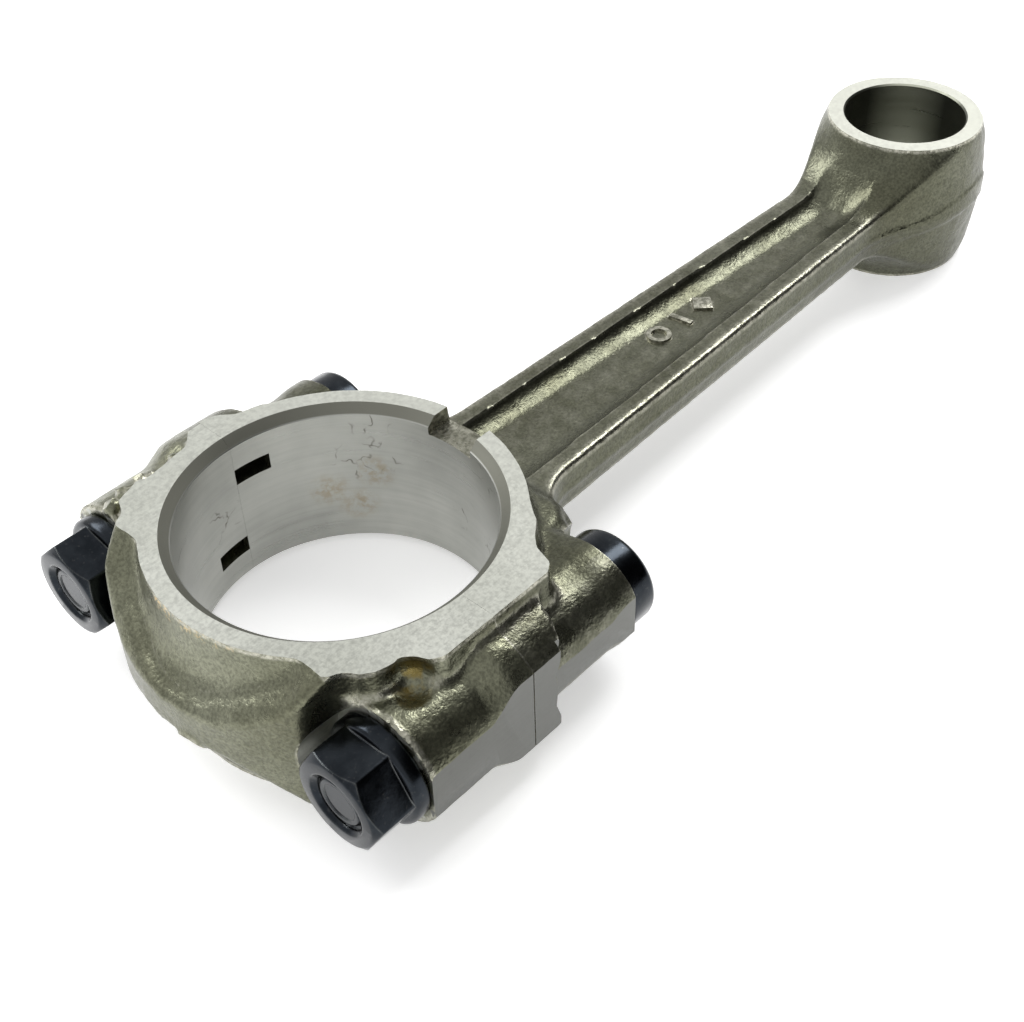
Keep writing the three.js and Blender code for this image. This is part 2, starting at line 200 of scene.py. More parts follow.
def shank(x, y, z):
    w = shank_half_width(x)
    slope = (shank_half_width(x + 0.1) - shank_half_width(x - 0.1)) / 0.2
    lean = 0.5 * (1 - np.abs(z) / SHANK_HALF) + 0.22 * np.exp(-(z / 0.5) ** 2)
    side = (np.abs(y) - w - lean) / np.sqrt(1 + slope ** 2)
    inner = straight_half_width(x) - 3.6 - 0.4 * fade(x, 60, 125)
    t = np.clip((inner - np.abs(y) + 0.3) / 3.4, 0, 1)
    floor = 0.6 * np.sqrt(1 - (1 - t) ** 2) + 0.4 * t
    floor = floor * (1 - fade(x, 127, 137))
    top = (np.abs(z) - SHANK_HALF + (SHANK_HALF - WEB_HALF) * floor) * 0.85
    beam = soft_meet(side, top, 0.9)
    return np.maximum(np.maximum(beam, x - CENTRES), 22 - x)


def small_eye(x, y, z):
    r = np.hypot(x - CENTRES, y)
    wall = 15.6 - 1.2 * np.clip((z - 3.7) / 10.3, 0, 1) - 1.4 * np.clip((-0.7 - z) / 13.3, 0, 1)
    outward = fade(x, CENTRES - 17, CENTRES + 4)
    upper, lower = 0.4 + 3.3 * outward, -2.4 + 1.7 * outward
    flash = fade(z, lower - 0.25, lower + 0.1) * (1 - fade(z, upper - 0.1, upper + 0.25))
    return (r - wall - 0.38 * flash) * 0.9


def rod_blank(p):
    x, y, z = p.T
    body = soft_join(ring_wall(x, y, z), rod_boss(x, y, z), 2.2)
    shoulder = soft_meet(plan_distance(x, np.abs(y), SHOULDER), np.abs(z) - 7.5, 2.0)
    body = fillet_join(body, shoulder, 2.4)
    body = soft_join(body, lug(x, y, z, ROD_LUG_NEAR), 1.5)
    body = soft_join(body, lug(x, y, z, ROD_LUG_FAR), 1.5)
    body = fillet_join(body, shank(x, y, z), 4.2)
    body = np.where(x > 90, fillet_join(shank(x, y, z), small_eye(x, y, z), 10.5), body)
    return np.maximum(body, slab(z))


NUB = (-32.1, -3.4, -4.8)
POCKET = (-14.0, -29.5, 11.9)
POCKET_R = 3.0

# ridges of the crown: angles from -X in degrees, then heights from the middle plane
UPPER_RIDGE = ([0, 10, 17, 26, 36, 41, 47.5, 60], [3.0, 4.1, 5.4, 7.4, 10.3, 13.1, 16, 24])
LOWER_RIDGE = ([0, 8, 17.5, 25.6, 33.9, 40.1, 49.4, 60], [2.9, 2.9, 3.3, 5.2, 8.4, 11.3, 16, 22])


def crown_radius(angle, height):
    upper = np.interp(angle, *UPPER_RIDGE)
    lower = np.minimum(np.interp(angle, *LOWER_RIDGE), upper - 0.4)
    end = np.maximum(11.2, upper + 3.5)
    outer = CROWN_R - 2.7 * fade(angle, 36, 50)
    band = outer - 1.6 * np.clip((height - lower) / (upper - lower), 0, 1) * fade(upper - lower, 0.3, 1.8)
    edge = outer - 1.6 * fade(upper - lower, 0.3, 1.8)
    up = np.clip((end - height) / (end - upper), 0, 1)
    scoop = edge - (edge - CROWN_SCOOP_R) * (0.5 * np.sqrt(np.clip(1 - up * up, 0, 1)) + 0.5 * (1 - up))
    return np.where(height > upper, scoop, band)


def soft_crown_radius(angle, height):
    return sum(crown_radius(angle, np.abs(height + step)) for step in (-0.45, -0.15, 0.15, 0.45)) / 4


def crown(x, y, z):
    r = np.hypot(x, y)
    angle = np.degrees(np.arctan2(np.abs(y), -x))
    height = np.abs(z)
    radius = soft_crown_radius(angle, height)
    slope = (soft_crown_radius(angle, height + 0.15) - soft_crown_radius(angle, height - 0.15)) / 0.3
    wall = (r - radius) / np.sqrt(1 + slope ** 2)
    return np.maximum(wall, (angle - 62) * 0.5)


def cap_blank(p):
    x, y, z = p.T
    body = soft_join(ring_wall(x, y, z), crown(x, y, z), 1.2)
    body = soft_join(body, cap_boss(x, y, z), 2.6)
    body = soft_join(body, lug(x, y, z, CAP_LUG_NEAR), 1.5)
    body = soft_join(body, lug(x, y, z, CAP_LUG_FAR), 1.5)
    for i in range(9):                      # the rope of lumps along the far lug
        along, out = -5.8 - 1.65 * i, 0.5 * (i % 2)
        body = soft_join(body, ball_distance(x, y, z, (along + 0.8, 28.9, 10.0), 1.5), 0.5)
        body = soft_join(body, ball_distance(x, y, z, (along, 29.9 + out, 10.6 + 0.4 * (i % 3)), 1.15), 0.35)
    body = soft_join(body, ball_distance(x, y, z, NUB, 2.5), 1.0)
    body = soft_meet(body, -ball_distance(x, y, z, POCKET, POCKET_R), 1.1)
    return np.maximum(body, slab(z))


# ---- mesh helpers ----

stand_in = bpy.data.materials.new("stand_in")


def object_of(name, bm):
    mesh = bpy.data.meshes.new(name)
    bm.to_mesh(mesh)
    bm.free()
    ob = bpy.data.objects.new(name, mesh)
    bpy.context.scene.collection.objects.link(ob)
    return ob


def add_block(bm, low, high, finish=MACHINED):
    size = [b - a for a, b in zip(low, high)]
    middle = [(a + b) / 2 for a, b in zip(low, high)]
    made = bmesh.ops.create_cube(bm, size=1, matrix=Matrix.Translation(middle) @ Matrix.Diagonal((*size, 1)))
    mark_faces(made["verts"], finish)


def mark_faces(verts, finish):
    for face in {f for v in verts for f in v.link_faces}:
        face.material_index = finish


def add_turned(bm, section, centre, axis, steps):
    """a closed solid turned from [radius, height] points about an axis of direction x or z"""
    if axis == "z":
        points = [Vector((centre[0] + r, centre[1], h)) for r, h in section]
        direction = (0, 0, 1)
    else:
        points = [Vector((h, centre[1] + r, centre[2])) for r, h in section]
        direction = (1, 0, 0)
    verts = [bm.verts.new(p) for p in points]
    edges = [bm.edges.new(pair) for pair in zip(verts, verts[1:])]
    bmesh.ops.spin(bm, geom=verts + edges, cent=centre, axis=direction, angle=2 * math.pi, steps=steps,
                   use_merge=True)


def turned(name, section, centre, axis, steps=72, finish=MACHINED):
    bm = bmesh.new()
    add_turned(bm, section, centre, axis, steps)
    bmesh.ops.remove_doubles(bm, verts=bm.verts[:], dist=1e-4)
    bmesh.ops.recalc_face_normals(bm, faces=bm.faces[:])
    mark_faces(bm.verts, finish)
    return object_of(name, bm)


def joined(name, *objects):
    bm = bmesh.new()
    for ob in objects:
        bm.from_mesh(ob.data)
        drop(ob)
    return object_of(name, bm)


def drop(ob):
    mesh = ob.data
    bpy.data.objects.remove(ob)
    bpy.data.meshes.remove(mesh)


def bake_modifiers(ob):
    graph = bpy.context.evaluated_depsgraph_get()
    mesh = bpy.data.meshes.new_from_object(ob.evaluated_get(graph))
    old = ob.data
    ob.modifiers.clear()
    ob.data = mesh
    bpy.data.meshes.remove(old)


def combine(ob, other, operation):
    modifier = ob.modifiers.new("combine", "BOOLEAN")
    modifier.operation = operation
    modifier.solver = "MANIFOLD"
    modifier.material_mode = "INDEX"
    modifier.object = other
    for mesh in (ob.data, other.data):
        while len(mesh.materials) < 3:
            mesh.materials.append(stand_in)
    bake_modifiers(ob)
    drop(other)
    return ob


def remesh(ob, voxel):
    modifier = ob.modifiers.new("even", "REMESH")
    modifier.mode = "VOXEL"
    modifier.voxel_size = voxel
    bake_modifiers(ob)


def positions(mesh):
    flat = np.empty(len(mesh.vertices) * 3, np.float32)
    mesh.vertices.foreach_get("co", flat)
    return flat.reshape(-1, 3).astype(float)


def normals(mesh):
    flat = np.empty(len(mesh.vertices) * 3, np.float32)
    mesh.vertices.foreach_get("normal", flat)
    return flat.reshape(-1, 3).astype(float)


def set_positions(mesh, co):
    mesh.vertices.foreach_set("co", co.astype(np.float32).ravel())
    mesh.update()


def slope_of(field, p, base, step=0.04):
    parts = []
    for axis in range(3):
        q = p.copy()
        q[:, axis] += step
        parts.append((field(q) - base) / step)
    return np.stack(parts, 1)


def settle(p, field, rounds, longest):
    for _ in range(rounds):
        value = field(p)
        gradient = slope_of(field, p, value)
        move = gradient * (value / np.maximum((gradient ** 2).sum(1), 0.05))[:, None]
        length = np.linalg.norm(move, axis=1, keepdims=True)
        p = p - move * np.minimum(1, longest / np.maximum(length, 1e-9))
    return p


def relax(p, pairs, share):
    count = np.bincount(pairs.ravel(), minlength=len(p))
    total = np.empty_like(p)
    for axis in range(3):
        total[:, axis] = (np.bincount(pairs[:, 0], p[pairs[:, 1], axis], len(p))
                          + np.bincount(pairs[:, 1], p[pairs[:, 0], axis], len(p)))
    return p + share * (total / np.maximum(count, 1)[:, None] - p)


def edge_pairs(mesh):
    flat = np.empty(len(mesh.edges) * 2, np.int32)
    mesh.edges.foreach_get("vertices", flat)
    return flat.reshape(-1, 2)


def forge(ob, field, coarse, fine):
    """presses a rough block shape into the forging that the distance field describes"""
    remesh(ob, coarse)
    p, pairs = positions(ob.data), edge_pairs(ob.data)
    for _ in range(7):
        p = settle(relax(p, pairs, 0.5), field, 1, 1.2)
    set_positions(ob.data, settle(p, field, 2, 1.2))
    remesh(ob, fine)
    p, pairs = positions(ob.data), edge_pairs(ob.data)
    for _ in range(3):
        p = settle(relax(p, pairs, 0.45), field, 1, 0.4)
    set_positions(ob.data, settle(p, field, 1, 0.3))
    out = normals(ob.data)
    lift = np.array([noise.fractal(Vector(q * 0.42), 0.9, 2.1, 3) for q in p])
    fine_lift = np.array([noise.noise(Vector(q * 1.25 + 40)) for q in p])
    set_positions(ob.data, positions(ob.data) + out * (0.055 * lift + 0.028 * fine_lift)[:, None])


# ---- materials ----

class Nodes:
    """short names for the node calls that every material repeats"""

    def __init__(self, name):
        self.material = bpy.data.materials.new(name)
        self.material.use_nodes = True
        self.tree = self.material.node_tree
        self.shader = self.tree.nodes["Principled BSDF"]
        self.place = self.new("ShaderNodeTexCoord").outputs["Object"]

    def new(self, kind, **values):
        node = self.tree.nodes.new(kind)
        for key, value in values.items():
            setattr(node, key, value)
        return node

    def link(self, source, target):
        self.tree.links.new(source, target)

    def noise(self, scale, detail=3, roughness=0.55, source=None):
        node = self.new("ShaderNodeTexNoise")
        node.inputs["Scale"].default_value = scale
        node.inputs["Detail"].default_value = detail
        node.inputs["Roughness"].default_value = roughness
        self.link(source or self.place, node.inputs["Vector"])
        return node.outputs["Fac"]

    def stretched(self, scale, turn=(0, 0, 0)):
        node = self.new("ShaderNodeMapping")
        node.inputs["Scale"].default_value = scale
        node.inputs["Rotation"].default_value = turn
        self.link(self.place, node.inputs["Vector"])
        return node.outputs["Vector"]

    def ramp(self, source, *stops):
        node = self.new("ShaderNodeValToRGB")
        elements = node.color_ramp.elements
        while len(elements) < len(stops):
            elements.new(0.5)
        for element, (position, colour) in zip(elements, stops):
            element.position = position
            element.color = (*colour, 1) if isinstance(colour, tuple) else (colour, colour, colour, 1)
        self.link(source, node.inputs["Fac"])
        return node.outputs["Color"]

    def math(self, operation, a, b=None, clamp=False):
        node = self.new("ShaderNodeMath", operation=operation, use_clamp=clamp)
        for socket, value in zip(node.inputs, (a, b)):
            if value is None:
                continue
            if isinstance(value, (int, float)):
                socket.default_value = value
            else:
                self.link(value, socket)
        return node.outputs["Value"]

    def spread(self, source, low, high, new_low, new_high):
        node = self.new("ShaderNodeMapRange")
        for name, value in (("From Min", low), ("From Max", high), ("To Min", new_low), ("To Max", new_high)):
            node.inputs[name].default_value = value
        self.link(source, node.inputs["Value"])
        return node.outputs["Result"]

    def mix(self, share, a, b, mode="MIX"):
        node = self.new("ShaderNodeMix", data_type="RGBA", blend_type=mode)
        for socket, value in ((node.inputs[0], share), (node.inputs[6], a), (node.inputs[7], b)):
            if isinstance(value, (int, float)):
                socket.default_value = value
            elif isinstance(value, tuple):
                socket.default_value = (*value, 1)
            else:
                self.link(value, socket)
        return node.outputs[2]

    def bump(self, height, strength, distance, below=None):
        node = self.new("ShaderNodeBump")
        node.inputs["Strength"].default_value = strength
        node.inputs["Distance"].default_value = distance
        self.link(height, node.inputs["Height"])
        if below is not None:
            self.link(below, node.inputs["Normal"])
        return node.outputs["Normal"]

    def near(self, places, inner, outer):
        """one close to any of the places, falling to nothing at the outer distance"""
        total = None
        for place in places:
            node = self.new("ShaderNodeVectorMath", operation="DISTANCE")
            self.link(self.place, node.inputs[0])
            node.inputs[1].default_value = place
            share = self.spread(node.outputs["Value"], inner, outer, 1.0, 0.0)
            total = share if total is None else self.math("MAXIMUM", total, share)
        return total

    def split(self, vector):
        node = self.new("ShaderNodeSeparateXYZ")
        self.link(vector, node.inputs[0])
        return node.outputs

    def attribute(self, name):
        return self.new("ShaderNodeAttribute", attribute_name=name).outputs["Fac"]

    def set(self, **sockets):
        names = {"colour": "Base Color", "rough": "Roughness", "metal": "Metallic", "normal": "Normal"}
        for key, value in sockets.items():
            socket = self.shader.inputs[names[key]]
            if isinstance(value, (int, float)):
                socket.default_value = value
            elif isinstance(value, tuple):
                socket.default_value = (*value, 1)
            else:
                self.link(value, socket)
        return self.material


# bright flakes on the cap's upper rim, as x and y
FLAKES = ((-28.2, 6), (-28.7, 3.2), (-29.2, -0.7), (-29.2, -3.9), (-28.9, -6.5), (-28.3, -8.9))


def forged_steel(name, painted_brightness):
    """shot-blasted olive grey forging skin, bright on worn edges, with painted shade in its hollows and a
    tone that paints each copy lighter or darker
    """
    m = Nodes(name)
    blotch = m.noise(60, 3, 0.5)
    mottle = m.noise(1000, 2, 0.5)
    grain = m.noise(2200, 2, 0.6)
    colour = m.ramp(blotch, (0.30, (0.120 * painted_brightness, 0.121 * painted_brightness, 0.081 * painted_brightness)),
                    (0.5, (0.148 * painted_brightness, 0.151 * painted_brightness, 0.106 * painted_brightness)),
                    (0.72, (0.190 * painted_brightness, 0.194 * painted_brightness, 0.143 * painted_brightness)))
    colour = m.mix(0.35, colour, m.ramp(mottle, (0.35, 0.6), (0.65, 1.0)), "MULTIPLY")
    colour = m.mix(0.7, colour, m.ramp(grain, (0.36, 0.52), (0.62, 1.0)), "MULTIPLY")
    # painted shade: hollows are darkened towards brown-black, standing in for the shade that falls in them
    painted_hollow_shade = m.spread(m.attribute("painted_hollow_shade"), 0.15, 0.7, 0.0, 0.22)
    colour = m.mix(painted_hollow_shade, colour, (0.060, 0.052, 0.030))
    worn = m.math("MULTIPLY", m.spread(m.attribute("edge"), 0.12, 0.42, 0.0, 1.0),
                  m.spread(m.noise(1300, 3, 0.7), 0.38, 0.60, 0.25, 1.0), clamp=True)
    colour = m.mix(worn, colour, (0.50, 0.49, 0.41))
    flakes = [to_row_frame @ Vector((x, y, HALF - 0.5)) for x, y in FLAKES]
    rim = m.math("MULTIPLY", m.near(flakes, 0.0009, 0.0021),
                 m.spread(m.noise(1500, 2, 0.5), 0.52, 0.60, 0.0, 1.0), clamp=True)
    colour = m.mix(rim, colour, (0.66, 0.50, 0.26))
    amber = m.math("MULTIPLY", m.near([to_row_frame @ Vector(POCKET)], 0.0029, 0.0036),
                   m.spread(m.noise(380, 3, 0.6), 0.45, 0.6, 0.0, 0.75), clamp=True)
    colour = m.mix(amber, colour, (0.24, 0.17, 0.03))
    rough = m.spread(m.noise(300, 3), 0.3, 0.7, 0.24, 0.36)
    height = m.math("ADD", grain, m.math("MULTIPLY", mottle, 0.8))
    normal = m.bump(height, 0.42, 0.00015)
    return m.set(colour=colour, rough=rough, metal=0.95, normal=normal)


def machined_steel(name):
    """ground faces, with a painted reflection brightening them towards the small end and painted shade on the
    side flats
    """
    m = Nodes(name)
    soft = m.noise(60, 4, 0.55)
    specks = m.noise(1700, 3, 0.65)
    lines = m.noise(120, 3, 0.6, m.stretched((1, 28, 28), (0, 0, 0.7)))
    colour = m.ramp(soft, (0.3, (0.44, 0.45, 0.40)), (0.7, (0.55, 0.56, 0.51)))
    colour = m.mix(0.45, colour, m.ramp(specks, (0.36, 0.62), (0.6, 1.0)), "MULTIPLY")
    colour = m.mix(0.25, colour, m.ramp(lines, (0.35, 0.7), (0.6, 1.0)), "MULTIPLY")
    along, across, _ = m.split(m.place)
    # painted reflection: the faces are lightened along x towards the small end, as if mirroring a brighter
    # sky
    colour = m.mix(m.spread(along, -0.090, -0.035, 0.0, 0.35), colour, (0.80, 0.81, 0.74))
    colour = m.mix(m.spread(along, 0.030, 0.060, 0.0, 0.40), colour, (0.90, 0.91, 0.80))
    # painted shade: the side flats beyond 36 mm are darkened, as the sides facing away from the light
    flat = m.spread(m.math("ABSOLUTE", across), 0.0360, 0.0366, 0.0, 0.77)
    colour = m.mix(flat, colour, (0.06, 0.06, 0.06))
    rough = m.spread(specks, 0.3, 0.7, 0.34, 0.5)
    normal = m.bump(m.math("ADD", lines, specks), 0.12, 0.0001)
    return m.set(colour=colour, rough=rough, metal=0.95, normal=normal)


# hairline marks and stains in the bore, as an angle in degrees and a height
CRACKS = ((35.8, 11.6), (43.6, 3.0), (32.4, 4.6), (-23.5, 11.5), (-23.7, -5.0), (-8.0, -2.1), (98.8, 0.7))
STAINS = ((53.5, -2.4), (42.6, -5.8), (35.0, 1.0))


def bore_place(angle, height):
    """a point of the big-end bore's wall, in the row frame"""
    a = math.radians(angle)
    return to_row_frame @ Vector((BIG_R * math.cos(a), BIG_R * math.sin(a), height))


def bored_steel(name):
    """bores with turning lines, hairline marks, faint stains, a chamfer painted darker as shade, and in the
    pin bore a painted highlight on the far wall with painted shade towards its sides
    """
    m = Nodes(name)
    soft = m.noise(45, 4, 0.6)
    lines = m.noise(30, 4, 0.65, m.stretched((1, 1, 40)))
    swirl = m.new("ShaderNodeTexNoise")
    swirl.inputs["Scale"].default_value = 300
    m.link(m.place, swirl.inputs["Vector"])
    shift = m.new("ShaderNodeVectorMath", operation="SCALE")
    shift.inputs["Scale"].default_value = 0.005
    m.link(swirl.outputs["Color"], shift.inputs[0])
    wander = m.new("ShaderNodeVectorMath", operation="ADD")
    m.link(m.place, wander.inputs[0])
    m.link(shift.outputs["Vector"], wander.inputs[1])
    cracks = m.new("ShaderNodeTexVoronoi", feature="DISTANCE_TO_EDGE")
    cracks.inputs["Scale"].default_value = 210
    m.link(wander.outputs["Vector"], cracks.inputs["Vector"])
    thin = m.spread(cracks.outputs["Distance"], 0.0, 0.04, 1.0, 0.0)
    thin = m.math("MULTIPLY", thin, m.spread(m.noise(420, 2, 0.5), 0.45, 0.58, 0.0, 1.0))
    crack = m.math("MULTIPLY", thin, m.near([bore_place(*c) for c in CRACKS], 0.0020, 0.0042), clamp=True)
    stain = m.math("MULTIPLY", m.near([bore_place(*c) for c in STAINS], 0.0008, 0.0040),
                   m.spread(m.noise(500, 3, 0.7), 0.4, 0.6, 0.0, 1.0), clamp=True)
    colour = m.ramp(soft, (0.3, (0.33, 0.335, 0.31)), (0.7, (0.48, 0.485, 0.45)))
    colour = m.mix(0.35, colour, m.ramp(lines, (0.35, 0.68), (0.62, 1.0)), "MULTIPLY")
    colour = m.mix(m.math("MULTIPLY", stain, 0.5), colour, (0.26, 0.19, 0.08))
    colour = m.mix(m.math("MULTIPLY", crack, 0.8), colour, (0.05, 0.04, 0.025))
    along, across, _ = m.split(m.place)
    reach = m.math("SQRT", m.math("ADD", m.math("POWER", m.math("SUBTRACT", along, big_end[0] * MM), 2),
                                  m.math("POWER", across, 2)))
    chamfer = m.math("MULTIPLY", m.spread(reach, (BIG_R + 0.08) * MM, (BIG_R + 0.2) * MM, 0.0, 1.0),
                     m.math("LESS_THAN", along, 0.0), clamp=True)
    # painted shade: the chamfer's colour is darkened to tone down the light it catches
    colour = m.mix(m.math("MULTIPLY", chamfer, 0.85), colour, (0.16, 0.16, 0.13))
    # painted highlight and shade: the pin bore is lightened on its far wall and darkened towards its sides
    pin_bore = m.math("GREATER_THAN", along, 0.0)
    toward = m.math("ADD", m.math("MULTIPLY", m.math("SUBTRACT", along, small_end[0] * MM), 0.88),
                    m.math("MULTIPLY", across, 0.47))
    painted_highlight = m.spread(toward, 0.0088, 0.0114, 0.13, 0.55)
    colour = m.mix(pin_bore, colour, m.mix(painted_highlight, (0.0, 0.0, 0.0), (1.0, 1.03, 0.84)))
    rough = m.spread(lines, 0.3, 0.7, 0.26, 0.38)
    rough = m.math("ADD", rough, m.math("MULTIPLY", chamfer, 0.22))
    normal = m.bump(lines, 0.12, 0.0001)
    normal = m.bump(crack, -0.3, 0.0001, normal)
    return m.set(colour=colour, rough=rough, metal=0.95, normal=normal)


def black_oxide(name):
    """oiled black finish of bolts and nuts, rubbed thin on the edges"""
    m = Nodes(name)
    cloud = m.noise(260, 4, 0.6)
    specks = m.noise(1700, 3, 0.65)
    soft_edge = m.new("ShaderNodeBevel", samples=6)
    soft_edge.inputs["Radius"].default_value = 0.0004
    flat = m.new("ShaderNodeNewGeometry").outputs["Normal"]
    turn = m.new("ShaderNodeVectorMath", operation="DOT_PRODUCT")
    m.link(soft_edge.outputs["Normal"], turn.inputs[0])
    m.link(flat, turn.inputs[1])
    edge = m.spread(turn.outputs["Value"], 0.86, 0.999, 1.0, 0.0)
    worn = m.math("MULTIPLY", edge, m.spread(cloud, 0.35, 0.6, 0.15, 0.8), clamp=True)
    colour = m.ramp(cloud, (0.35, (0.016, 0.019, 0.023)), (0.7, (0.032, 0.037, 0.043)))
    colour = m.mix(m.spread(specks, 0.62, 0.72, 0.0, 0.4), colour, (0.10, 0.10, 0.095))
    colour = m.mix(m.math("MULTIPLY", worn, 0.6), colour, (0.24, 0.25, 0.24))
    rough = m.spread(cloud, 0.3, 0.7, 0.13, 0.26)
    normal = m.bump(specks, 0.10, 0.0001, soft_edge.outputs["Normal"])
    return m.set(colour=colour, rough=rough, metal=1.0, normal=normal)


# ---- rod forging and bearing cap ----

def add_disc(bm, r, half_height, x):
    bmesh.ops.create_cone(bm, cap_ends=True, segments=64, radius1=r, radius2=r, depth=2 * half_height,
                          matrix=Matrix.Translation((x, 0, 0)))


def rough_rod():
    bm = bmesh.new()
    add_disc(bm, 29, ROUGH_TOP, 0)
    add_block(bm, (0, -39, -10), (HEAD_SEAT + 1, 39, 10))
    add_block(bm, (0, -30, -14), (13, 30, 14))
    add_block(bm, (0, -20, -7), (31, 20, 7))
    add_block(bm, (26, -11, -4.6), (CENTRES, 11, 4.6))
    add_block(bm, (128, -9, -11), (CENTRES, 9, 11))
    add_disc(bm, 15.4, ROUGH_TOP, CENTRES)
    half = object_of("rod_rough", bm)
    remesh(half, 0.9)
    return combine(half, blocks("half", ((-1.2, -WIDE, -TALL), (200, WIDE, TALL))), "INTERSECT")


def rough_cap():
    bm = bmesh.new()
    add_disc(bm, 29, ROUGH_TOP, 0)
    add_disc(bm, 33, 4.5, 0)
    add_block(bm, (-19.5, -39, -10), (0, 39, 10))
    add_block(bm, (-18, -28, -14), (0, 28, 14))
    half = object_of("cap_rough", bm)
    remesh(half, 0.8)
    return combine(half, blocks("half", ((-WIDE, -WIDE, -TALL), (1.2, WIDE, TALL))), "INTERSECT")


def bore_cutter(name, x, r, chamfer, steps):
    out = HALF + 1
    mouth = r + chamfer + 1
    section = [(0, -out), (mouth, -out), (r, -HALF + chamfer), (r, HALF - chamfer), (mouth, out), (0, out)]
    return turned(name, section, (x, 0, 0), "z", steps, BORED)


def bolt_hole(name, side):
    section = [(0, -WIDE), (BOLT_HOLE_R, -WIDE), (BOLT_HOLE_R, WIDE), (0, WIDE)]
    return turned(name, section, (0, side * BOLT_Y, 0), "x", 48, BORED)


def blocks(name, *corners, finish=MACHINED):
    bm = bmesh.new()
    for low, high in corners:
        add_block(bm, low, high, finish)
    return object_of(name, bm)


def pair_of_cutters(name, section, steps=72, finish=MACHINED):
    """the same turned cutter on both bolt axes"""
    return joined(name, *(turned(word, section, (0, y, 0), "x", steps, finish)
                          for word, y in (("left", BOLT_Y), ("right", -BOLT_Y))))


def side_blocks(name, low_x, high_x, y, finish=MACHINED):
    """one block outside each side plane"""
    far = ((low_x, y, -TALL), (high_x, WIDE, TALL))
    near = ((low_x, -WIDE, -TALL), (high_x, -y, TALL))
    return blocks(name, far, near, finish=finish)


def side_grooves():
    """the fine broken corners of the parting line on both side flats"""
    return side_blocks("grooves", -GROOVE_HALF, GROOVE_HALF, SIDE_Y - 0.2, FORGED)


def raised_shapes():
    """three plain raised shapes on the web: a ring, a bar and a diamond"""
    section = [(1.25, MARK_LOW), (2.35, MARK_LOW), (2.2, MARK_TOP), (1.4, MARK_TOP)]
    ring = turned("ring", section, (75.6, MARK_Y, 0), "z", 48, FORGED)
    bm = bmesh.new()
    bm.from_mesh(ring.data)
    rim = [e for e in bm.edges if len(e.link_faces) == 1]
    bmesh.ops.bridge_loops(bm, edges=rim)
    for x, half_x, half_y, turn in ((81.8, 0.55, 2.25, 0.12), (87.9, 1.7, 1.7, 0.785)):
        place = (Matrix.Translation((x, MARK_Y, (MARK_LOW + MARK_TOP) / 2)) @ Matrix.Rotation(turn, 4, "Z")
                 @ Matrix.Diagonal((half_x, half_y, (MARK_TOP - MARK_LOW) / 2, 1)))
        made = bmesh.ops.create_cube(bm, size=2, matrix=place)
        upper = [e for e in bm.edges if all(v in made["verts"] and v.co.z > MARK_LOW + 0.5 for v in e.verts)]
        bmesh.ops.bevel(bm, geom=upper, offset=0.18, offset_type="OFFSET", segments=2, profile=0.5,
                        affect="EDGES", material=-1)
    bmesh.ops.recalc_face_normals(bm, faces=bm.faces[:])
    drop(ring)
    return object_of("raised", bm)


def make_rod():
    rod = rough_rod()
    forge(rod, lambda p: np.maximum(rod_blank(p), -p[:, 0] - SPARE), 0.9, 0.56)
    combine(rod, blocks("faces", ((0, -SIDE_Y, -HALF), (CENTRES + 30, SIDE_Y, HALF))), "INTERSECT")
    combine(rod, raised_shapes(), "UNION")
    parting = ((-2, -WIDE, -TALL), (PARTING_GAP, WIDE, TALL))
    combine(rod, blocks("parting", parting, finish=FORGED), "DIFFERENCE")
    combine(rod, joined("bores", bore_cutter("big", 0, BIG_R, BIG_CHAMFER, 160),
                        bore_cutter("small", CENTRES, SMALL_R, SMALL_CHAMFER, 112),
                        bolt_hole("left", 1), bolt_hole("right", -1)), "DIFFERENCE")
    seat = [(0, HEAD_SEAT), (HEAD_SPOT_R, HEAD_SEAT), (HEAD_SPOT_R, WIDE), (0, WIDE)]
    combine(rod, pair_of_cutters("seats", seat, finish=FORGED), "DIFFERENCE")
    combine(rod, side_blocks("flats", 5.4, WIDE, ROD_SIDE_Y), "DIFFERENCE")
    slot = ((-1, SLOT_ROOM[0], SLOT_LOW), (SLOT_LENGTH, SLOT_ROOM[1], SLOT_HIGH))
    combine(rod, blocks("slot", slot, finish=FORGED), "DIFFERENCE")
    combine(rod, side_grooves(), "DIFFERENCE")
    notch = ((19, -NOTCH_HALF, HALF - NOTCH_DEPTH), (33, NOTCH_HALF, TALL))
    combine(rod, blocks("notch", notch, finish=FORGED), "DIFFERENCE")
    return rod


def make_cap():
    cap = rough_cap()
    forge(cap, lambda p: np.maximum(cap_blank(p), p[:, 0] - SPARE), 0.8, 0.45)
    combine(cap, blocks("faces", ((-WIDE, -SIDE_Y, -HALF), (0, SIDE_Y, HALF))), "INTERSECT")
    parting = ((-PARTING_GAP, -WIDE, -TALL), (2, WIDE, TALL))
    combine(cap, blocks("parting", parting, finish=FORGED), "DIFFERENCE")
    combine(cap, joined("bores", bore_cutter("big", 0, BIG_R, BIG_CHAMFER, 160),
                        bolt_hole("left", 1), bolt_hole("right", -1)), "DIFFERENCE")
    seat = [(0, -WIDE), (SPOTFACE_R, -WIDE), (SPOTFACE_R, NUT_SEAT), (0, NUT_SEAT)]
    combine(cap, pair_of_cutters("seats", seat), "DIFFERENCE")
    combine(cap, side_grooves(), "DIFFERENCE")
    slot = ((-SLOT_LENGTH, SLOT_ROOM[0], -SLOT_HIGH), (1, SLOT_ROOM[1], -SLOT_LOW))
    combine(cap, blocks("slot", slot, finish=FORGED), "DIFFERENCE")
    return cap


# ---- bolts and nuts ----

